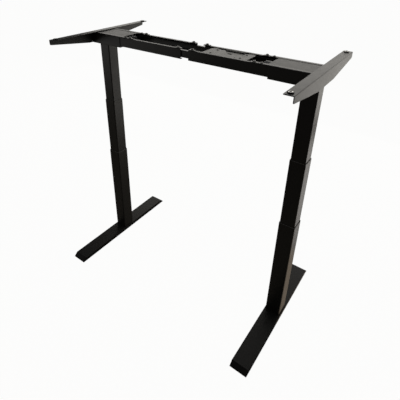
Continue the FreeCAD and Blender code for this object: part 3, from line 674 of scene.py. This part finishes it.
def make_levellers():
    """A ribbed pad with a hub for a spanner, on a threaded stud."""
    hub = hexagon(SPANNER)
    for side in SIDES:
        for end in ("front", "rear"):
            node = "%s_%s_leveller" % (side, end)
            low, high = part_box(node)
            at = (*middle(low, high).xy, 0)
            radius = (high.x - low.x) / 2 / MM

            def rib(angle, reach=radius):
                return reach - RIB_DEPTH * (0.5 - 0.5 * math.cos(angle * RIBS)) ** 3
            rings = [(0, radius * 0.55), (0.35, radius * 0.6), (0.35, radius * 0.78), (0, radius * 0.82),
                     (0, radius - 0.9), (0.7, rib), (3.2, rib), (4.4, radius - 1.2), (5.0, radius - 3.0),
                     (5.2, 9.6), (5.6, hub), (9.4, hub), (10.0, 7.9), (10.0, 4.6)]
            pad = as_object(node + "_pad", turned(bmesh.new(), rings, 96, at))
            register(settle(pad, keep=40), node, "foot_plastic", node)
            stud = as_object(node + "_stud", screw_thread(at, 9.9, high.z / MM, **STUD_THREAD))
            register(settle(stud, keep=50), node, "fastener_steel")


STAGE_THREAD = {"crest": 9.98, "depth": 1.1, "lead": 16.0, "starts": 4, "sides": 40, "steps": 5,
                "bore": 7.0}
DRIVE_THREAD = {"crest": 5.98, "depth": 0.9, "lead": 16.0, "starts": 4, "sides": 32, "steps": 5}
BASE_NUT_BORE = 10.1
STAGE_NUT_BORE = 6.1


def make_screw(name, at, thread):
    """One rolled screw, as long as the CAD's."""
    node = name + "_screw"
    low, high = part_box(node)
    rolled = as_object(name + "_thread", screw_thread(at, low.z / MM, high.z / MM, **thread))
    register(settle(rolled, keep=50), node, "screw_steel", node)


def make_screw_nut(node, body, at, bore):
    """A plain round nut with a groove round its middle and chamfered ends."""
    low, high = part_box(node)
    reach = (high.x - low.x) / 2 / MM
    foot, top = low.z / MM, high.z / MM
    groove = (top - foot) / 2 + foot
    rings = [(foot, bore + 0.4), (foot, reach - 0.6), (foot + 0.6, reach), (groove - 1.5, reach),
             (groove - 0.9, reach - 0.8), (groove + 0.9, reach - 0.8), (groove + 1.5, reach),
             (top - 0.6, reach), (top, reach - 0.6), (top, bore + 0.4), (top - 0.4, bore),
             (foot + 0.4, bore)]
    ring = as_object(node + "_piece", turned(bmesh.new(), rings, 64, at, ring_shaped=True))
    register(settle(ring, keep=40), body, "nut_brass", node)


def make_screws():
    """Both screws in each column, and the nuts that they turn in, all on the stage screw's axis."""
    for side in SIDES:
        at = (*middle(*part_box(side + "_stage_screw")).xy, 0)
        make_screw(side + "_stage", at, STAGE_THREAD)
        make_screw(side + "_drive", at, DRIVE_THREAD)
        make_screw_nut(side + "_base_nut", side + "_foot", at, BASE_NUT_BORE)
        make_screw_nut(side + "_stage_nut", side + "_mid_stage", at, STAGE_NUT_BORE)


def make_grommets():
    """A soft ring in each bracket hole, with a plated sleeve that takes the screw's head."""
    for side in SIDES:
        node = side + "_grommets"
        rubber, plated = bmesh.new(), bmesh.new()
        for low, high in islands(node):
            at = (*middle(low, high).xy, 0)
            top, foot = high.z / MM, low.z / MM
            reach = (high.x - low.x) / 2 / MM
            rings = [(foot, 5.6), (foot, reach - 0.9), (foot + 0.5, reach - 0.2), (foot + 1.3, reach),
                     (foot + 2.0, reach - 0.2), (foot + 2.0, 8.0), (foot + 5.0, 8.0),
                     (foot + 5.0, reach - 0.1), (foot + 5.8, reach), (top - 1.0, reach - 0.1),
                     (top - 0.3, reach - 0.6), (top, reach - 1.2), (top - 0.1, reach - 1.9),
                     (top - 0.9, reach - 2.3), (top - 0.9, 5.6)]
            turned(rubber, rings, 48, at, ring_shaped=True)
            brim = reach - 2.5
            sleeve = [(top - 0.9, 5.5), (top - 0.9, brim - 0.1), (top - 0.55, brim), (top - 0.25, brim - 0.4),
                      (top - 0.25, 4.9), (top - 0.7, 4.4), (foot + 0.2, 4.4), (foot, 4.6), (foot, 5.4),
                      (foot + 0.2, 5.5)]
            turned(plated, sleeve, 48, at, ring_shaped=True)
        bmesh.ops.recalc_face_normals(rubber, faces=rubber.faces)
        bmesh.ops.recalc_face_normals(plated, faces=plated.faces)
        register(settle(as_object(side + "_grommet_rings", rubber), keep=40), side + "_head",
                 "grommet_rubber", node)
        register(settle(as_object(side + "_grommet_sleeves", plated), keep=40), side + "_head", "bare_steel",
                 finish="zinc_plate")


make_camera()
finishes = make_finishes()
tree_of_fixings = fixing_tree()
make_sheet_and_castings()
make_bolts()
make_drive_details()
make_levellers()
make_screws()
make_grommets()

# ---------------------------------------------------------------- floor and light


FLOOR_REACH = 20
FLOOR_SHADE = (0.25, 0.225, 0.19)
SKY_GLOW = 0.045
SKY_WHITE = 0.98


def make_floor():
    """A wide pale floor that stays pale to the eye and gives back little light."""
    bm = bmesh.new()
    bmesh.ops.create_grid(bm, x_segments=24, y_segments=24, size=FLOOR_REACH)
    floor = as_object("floor", bm)
    paint = Finish("pale_floor")
    speckle = paint.grain(60.0, 3.0)
    seen = paint.node("LightPath")["Is Camera Ray"]
    matt = paint.node("BsdfDiffuse", Color=(0.012, 0.012, 0.012))["BSDF"]
    glow = paint.node("Emission", Color=paint.tint(speckle, (0.965, 0.965, 0.96), (0.98, 0.98, 0.975)))
    pale = paint.node("AddShader", Shader=matt, Shader_001=glow["Emission"])["Shader"]
    dim = paint.node("BsdfDiffuse", Color=FLOOR_SHADE)["BSDF"]
    either = paint.node("MixShader", Fac=seen, Shader=dim, Shader_001=pale)["Shader"]
    paint.node("OutputMaterial", Surface=either)
    floor.data.materials.append(paint.material)


def make_sky():
    """Plain light from all round: white to the eye, dim on the object."""
    scene.world = bpy.data.worlds.new("studio")
    sky = Shading(scene.world)
    seen = sky.node("LightPath")["Is Camera Ray"]
    dim = sky.node("Background", Color=(1.0, 0.98, 0.95), Strength=SKY_GLOW)["Background"]
    pale = sky.node("Background", Color=(1.0, 1.0, 1.0), Strength=SKY_WHITE)["Background"]
    either = sky.node("MixShader", Fac=seen, Shader=dim, Shader_001=pale)["Shader"]
    sky.node("OutputWorld", Surface=either)


def make_panel(name, place, aim, width, height, brightness, colour):
    """A wide soft light panel that the camera doesn't see, in metres; brightness is its face's."""
    data = bpy.data.lights.new(name, "AREA")
    data.shape = "RECTANGLE"
    data.size = width
    data.size_y = height
    data.energy = brightness * math.pi * width * height
    data.color = colour
    lamp = bpy.data.objects.new(name, data)
    lamp.location = place
    lamp.rotation_mode = "QUATERNION"
    lamp.rotation_quaternion = (Vector(aim) - Vector(place)).to_track_quat("-Z", "Y")
    lamp.visible_camera = False
    scene.collection.objects.link(lamp)


WARM, SOFT, WHITE = (1.0, 0.965, 0.90), (1.0, 0.98, 0.95), (1.0, 1.0, 1.0)
# place, aim, width, height, brightness and colour of each panel
PANELS = {
    "panel_behind": ((-0.8, 2.3, 1.38), (-0.8, 0, 1.38), 5.4, 2.7, 1.5, WARM),
    "panel_left": ((-3.0, -2.0, 0.7), (0, 0, 0.6), 2.6, 1.4, 0.5, SOFT),
    "card_low": ((1.1, 0.2, 0.01), (1.1, 0.2, 1.0), 1.2, 0.5, 0.42, (1.0, 0.8, 0.6)),
    "card_far": ((1.31, 1.2, 0.01), (1.31, 1.2, 1.0), 1.18, 1.5, 1.1, (1.0, 0.97, 0.93)),
    "panel_front": ((0.2, -4.5, 1.0), (0.2, 0, 0.8), 3.6, 1.7, 0.12, SOFT),
    "panel_right": ((4.5, 0.2, 1.0), (0, 0.2, 0.8), 3.0, 1.7, 0.55, SOFT),
    "panel_above": ((0, 0.3, 3.4), (0, 0, 0), 3.5, 3.0, 0.55, WHITE),
}

make_floor()
make_sky()
for panel, setting in PANELS.items():
    make_panel(panel, *setting)

scene.view_settings.view_transform = "Standard"
scene.view_settings.look = "None"
